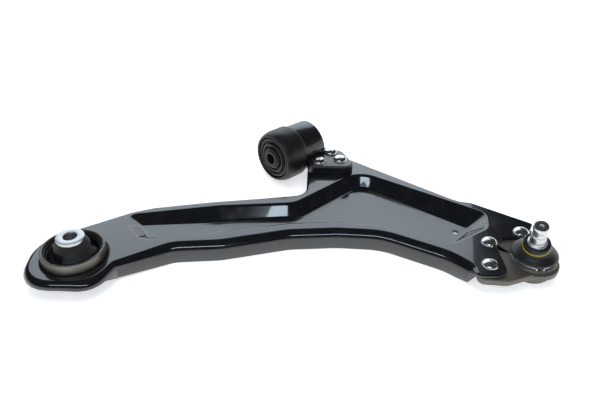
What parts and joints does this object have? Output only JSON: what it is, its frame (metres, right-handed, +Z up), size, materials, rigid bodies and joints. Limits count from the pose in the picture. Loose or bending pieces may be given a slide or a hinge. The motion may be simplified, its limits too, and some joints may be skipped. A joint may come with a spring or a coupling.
{
  "type": "control arm",
  "caption": "Pressed steel lower suspension arm with a vertical rear bush, a horizontal front bush in a riveted bracket and a riveted ball joint.",
  "frame": {"origin": "on the rear bush axis, at the height of the arm's top face", "axes": "+Z up along the rear bush axis, +X along the arm towards the ball joint, +Y towards the front bush"},
  "size_m": [0.5585, 0.3103, 0.0737],
  "materials": {
    "arm_paint": "gloss",
    "bracket_paint": "gloss",
    "sleeve_steel": "satin",
    "bright_sleeve": "satin",
    "dark_sleeve": "satin",
    "forged_steel": "satin",
    "stud_steel": "satin",
    "zinc_rivet": "polished",
    "wire_steel": "polished",
    "bush_rubber": "matte",
    "cover_rubber": "matte",
    "boot_rubber": "satin",
    "race_plastic": "matte",
    "marker_plastic": "gloss"
  },
  "bodies": {
    "arm": {"arm_pressing": "arm_paint", "rear_bush_outer_sleeve": "sleeve_steel", "rear_bush_rubber": "bush_rubber", "front_bracket": "bracket_paint", "front_bush_outer_sleeve": "sleeve_steel", "front_bush_rubber": "bush_rubber", "front_bush_cover": "cover_rubber", "front_bush_bellows": "cover_rubber", "front_bush_rear_seal": "bush_rubber", "bracket_rivets": "zinc_rivet", "ball_joint_housing": "forged_steel", "ball_joint_end_cap": "forged_steel", "ball_joint_preload_ring": "bush_rubber", "boot_lower_clip": "wire_steel", "ball_joint_rivets": "zinc_rivet"},
    "rear_sleeve": {"rear_bush_inner_sleeve": "bright_sleeve"},
    "front_sleeve": {"front_bush_inner_sleeve": "dark_sleeve"},
    "swivel": {"ball_race": "race_plastic", "dust_boot": "boot_rubber"},
    "neck": {"boot_neck_ring": "boot_rubber", "boot_marker_ring": "marker_plastic"},
    "stud": {"ball_stud": "stud_steel"}
  },
  "joints": [
    {"name": "rear_bush_tilt", "type": "hinge", "parent": "arm", "child": "rear_sleeve", "pos_m": [0, 0, 0], "axis": [0.7183, 0.6957, 0], "range_deg": [-10, 10], "stiffness_Nm_per_rad": 60, "deforming": ["rear_bush_rubber"]},
    {"name": "front_bush_twist", "type": "hinge", "parent": "arm", "child": "front_sleeve", "pos_m": [0.223, 0.216, 0.014], "axis": [0.7183, 0.6957, 0], "range_deg": [-20, 20], "stiffness_Nm_per_rad": 80},
    {"name": "ball_swivel", "type": "hinge", "parent": "arm", "child": "swivel", "pos_m": [0.486, 0.009, -0.005], "axis": [0, 0, 1], "continuous": true},
    {"name": "ball_lean", "type": "hinge", "parent": "swivel", "child": "neck", "pos_m": [0.486, 0.009, -0.005], "axis": [0.8829, -0.4695, 0], "range_deg": [-41, 9], "deforming": ["dust_boot"]},
    {"name": "stud_spin", "type": "hinge", "parent": "neck", "child": "stud", "pos_m": [0.486, 0.009, -0.005], "axis": [-0.1294, -0.2434, 0.9613], "continuous": true}
  ]
}
